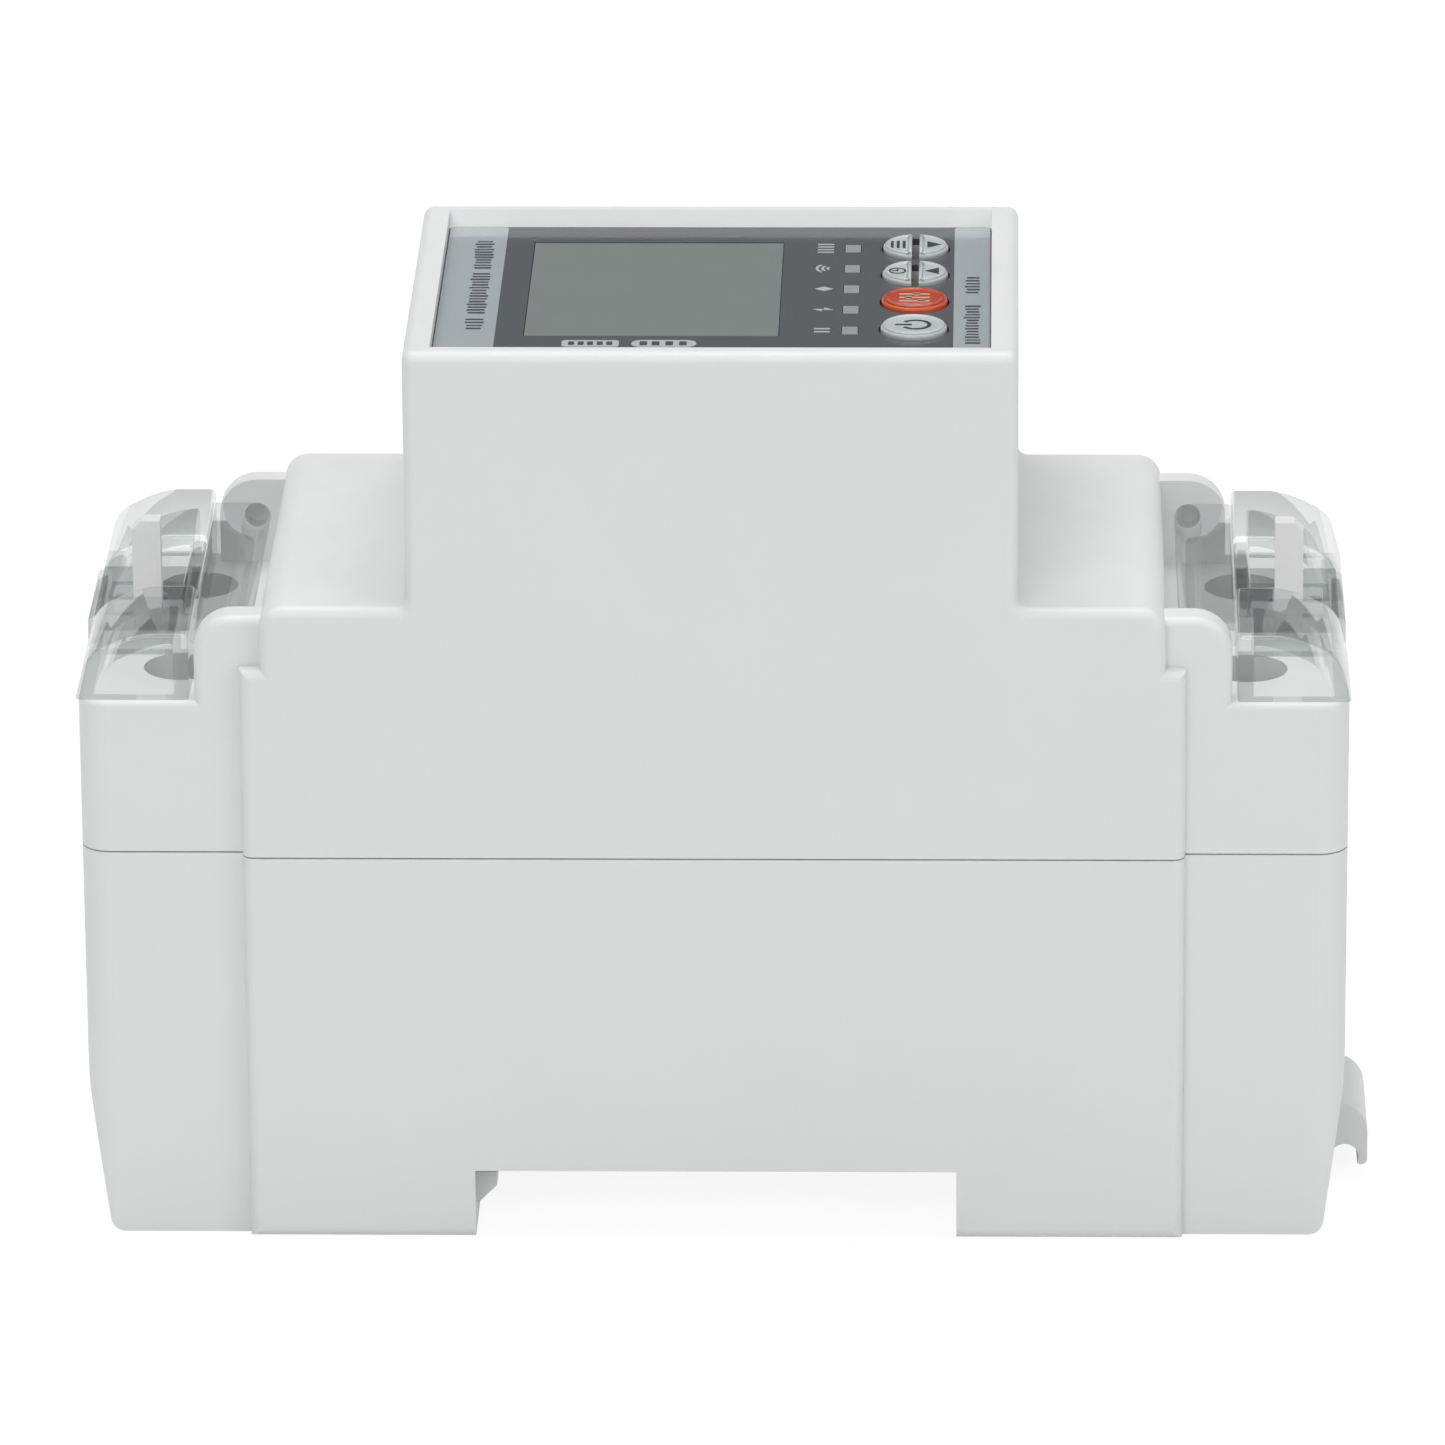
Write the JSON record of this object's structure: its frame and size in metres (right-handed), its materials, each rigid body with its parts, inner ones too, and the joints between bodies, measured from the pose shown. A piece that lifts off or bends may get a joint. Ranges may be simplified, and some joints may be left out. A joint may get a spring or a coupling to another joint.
{
  "type": "din rail timer",
  "caption": "Din rail timer and protective relay with stepped case, display, keys, clear hinged terminal covers, cage terminals and a sprung rail clip.",
  "frame": {"origin": "centre of the rail seat, the roof of the 35 mm rail slot", "axes": "+Z from the rail to the front panel, +X along the case to the load end with the rail clip, Y across its two modules"},
  "size_m": [0.0962, 0.036, 0.0699],
  "materials": {
    "housing": "fine satin moulding",
    "clear_cover": "clear polished",
    "label": "gloss film",
    "smoked_window": "smoked gloss",
    "light_pipe": "translucent",
    "key_grey": "satin",
    "key_orange": "satin",
    "switch_plunger": "satin",
    "switch_body": "satin",
    "display_glass": "polished",
    "backlight": "diffuse",
    "circuit_board": "solder mask",
    "steel_screw": "zinc plated",
    "lamp": "clear resin",
    "header_plastic": "moulded",
    "brass_bar": "stamped",
    "plated_cage": "nickel plated",
    "coil_copper": "enamelled winding",
    "soft_iron": "laminated",
    "ferrite_ring": "coated",
    "film_capacitor_box": "potted box",
    "capacitor_can": "sleeved can",
    "varistor_blue": "dipped",
    "fuse_ceramic": "glazed",
    "clip_plastic": "satin moulding",
    "spring_steel": "spring temper"
  },
  "bodies": {
    "case": {"base_housing": "housing", "front_housing": "housing", "front_label": "label", "display_window": "smoked_window", "light_pipes": "light_pipe", "tact_switches": "switch_body", "display_glass": "display_glass", "backlight": "backlight", "display_board": "circuit_board", "display_board_screws": "steel_screw", "status_leds": "lamp", "board_header": "header_plastic", "main_board": "circuit_board", "main_board_screws": "steel_screw", "neutral_bar": "brass_bar", "supply_line_bar": "brass_bar", "load_line_bar": "brass_bar", "relay_case": "header_plastic", "relay_coil": "coil_copper", "current_ring": "ferrite_ring", "film_capacitor": "film_capacitor_box", "electrolytic_capacitors": "capacitor_can", "transformer": "soft_iron", "radio_module": "circuit_board", "varistor": "varistor_blue", "fuse_link": "fuse_ceramic", "clip_spring": "spring_steel"},
    "supply_cover": {"supply_cover": "clear_cover"},
    "load_cover": {"load_cover": "clear_cover"},
    "rail_clip": {"rail_clip": "clip_plastic"},
    "relay_armature": {"relay_armature": "soft_iron"},
    "relay_carriage": {"relay_pusher": "header_plastic", "relay_bridge": "brass_bar"},
    "power_key": {"power_key": "key_grey", "power_plunger": "switch_plunger"},
    "set_key": {"set_key": "key_orange", "set_plunger": "switch_plunger"},
    "timer_key": {"timer_key": "key_grey", "timer_plunger": "switch_plunger"},
    "up_key": {"up_key": "key_grey", "up_plunger": "switch_plunger"},
    "menu_key": {"menu_key": "key_grey", "menu_plunger": "switch_plunger"},
    "down_key": {"down_key": "key_grey", "down_plunger": "switch_plunger"},
    "load_neutral_screw": {"load_neutral_screw": "steel_screw"},
    "load_neutral_cage": {"load_neutral_cage": "plated_cage"},
    "load_line_screw": {"load_line_screw": "steel_screw"},
    "load_line_cage": {"load_line_cage": "plated_cage"},
    "supply_neutral_screw": {"supply_neutral_screw": "steel_screw"},
    "supply_neutral_cage": {"supply_neutral_cage": "plated_cage"},
    "supply_line_screw": {"supply_line_screw": "steel_screw"},
    "supply_line_cage": {"supply_line_cage": "plated_cage"}
  },
  "joints": [
    {"name": "supply_cover_hinge", "type": "hinge", "parent": "case", "child": "supply_cover", "pos_m": [-0.03545, 0, 0.04065], "axis": [0, 1, 0], "range_deg": [0, 92]},
    {"name": "load_cover_hinge", "type": "hinge", "parent": "case", "child": "load_cover", "pos_m": [0.03545, 0, 0.04065], "axis": [0, -1, 0], "range_deg": [0, 92]},
    {"name": "clip_slide", "type": "slide", "parent": "case", "child": "rail_clip", "axis": [1, 0, 0], "range_m": [0, 0.0025], "stiffness_N_per_m": 1500, "springref_m": -0.002, "deforming": ["clip_spring"]},
    {"name": "power_key_press", "type": "slide", "parent": "case", "child": "power_key", "axis": [0, 0, -1], "range_m": [0, 0.00025], "stiffness_N_per_m": 800, "springref_m": -0.0005},
    {"name": "set_key_press", "type": "slide", "parent": "case", "child": "set_key", "axis": [0, 0, -1], "range_m": [0, 0.00025], "stiffness_N_per_m": 800, "springref_m": -0.0005},
    {"name": "timer_key_press", "type": "slide", "parent": "case", "child": "timer_key", "axis": [0, 0, -1], "range_m": [0, 0.00025], "stiffness_N_per_m": 800, "springref_m": -0.0005},
    {"name": "up_key_press", "type": "slide", "parent": "case", "child": "up_key", "axis": [0, 0, -1], "range_m": [0, 0.00025], "stiffness_N_per_m": 800, "springref_m": -0.0005},
    {"name": "menu_key_press", "type": "slide", "parent": "case", "child": "menu_key", "axis": [0, 0, -1], "range_m": [0, 0.00025], "stiffness_N_per_m": 800, "springref_m": -0.0005},
    {"name": "down_key_press", "type": "slide", "parent": "case", "child": "down_key", "axis": [0, 0, -1], "range_m": [0, 0.00025], "stiffness_N_per_m": 800, "springref_m": -0.0005},
    {"name": "load_neutral_screw_turn", "type": "hinge", "parent": "case", "child": "load_neutral_screw", "pos_m": [0.0396, 0.009, 0.025], "axis": [0, 0, -1], "range_deg": [0, 2926]},
    {"name": "load_neutral_cage_lift", "type": "slide", "parent": "case", "child": "load_neutral_cage", "axis": [0, 0, 1], "range_m": [0, 0.0065]},
    {"name": "load_line_screw_turn", "type": "hinge", "parent": "case", "child": "load_line_screw", "pos_m": [0.0396, -0.009, 0.025], "axis": [0, 0, -1], "range_deg": [0, 2926]},
    {"name": "load_line_cage_lift", "type": "slide", "parent": "case", "child": "load_line_cage", "axis": [0, 0, 1], "range_m": [0, 0.0065]},
    {"name": "supply_neutral_screw_turn", "type": "hinge", "parent": "case", "child": "supply_neutral_screw", "pos_m": [-0.0396, 0.009, 0.025], "axis": [0, 0, -1], "range_deg": [0, 2926]},
    {"name": "supply_neutral_cage_lift", "type": "slide", "parent": "case", "child": "supply_neutral_cage", "axis": [0, 0, 1], "range_m": [0, 0.0065]},
    {"name": "supply_line_screw_turn", "type": "hinge", "parent": "case", "child": "supply_line_screw", "pos_m": [-0.0396, -0.009, 0.025], "axis": [0, 0, -1], "range_deg": [0, 2926]},
    {"name": "supply_line_cage_lift", "type": "slide", "parent": "case", "child": "supply_line_cage", "axis": [0, 0, 1], "range_m": [0, 0.0065]},
    {"name": "armature_rock", "type": "hinge", "parent": "case", "child": "relay_armature", "pos_m": [0.0143, -0.009, 0.0096], "axis": [0, -1, 0], "range_deg": [0, 3.2], "stiffness_Nm_per_rad": 0.01, "springref_deg": -2.86},
    {"name": "relay_carriage_slide", "type": "slide", "parent": "case", "child": "relay_carriage", "axis": [0, 0, -1], "range_m": [0, 0.00074], "stiffness_N_per_m": 12, "springref_m": -0.0008}
  ],
  "couplings": [
    {"joint": "load_neutral_screw_turn", "follows": "load_neutral_cage_lift", "rad_per_m": 7854},
    {"joint": "load_line_screw_turn", "follows": "load_line_cage_lift", "rad_per_m": 7854},
    {"joint": "supply_neutral_screw_turn", "follows": "supply_neutral_cage_lift", "rad_per_m": 7854},
    {"joint": "supply_line_screw_turn", "follows": "supply_line_cage_lift", "rad_per_m": 7854},
    {"joint": "armature_rock", "follows": "relay_carriage_slide", "rad_per_m": 75.2}
  ]
}
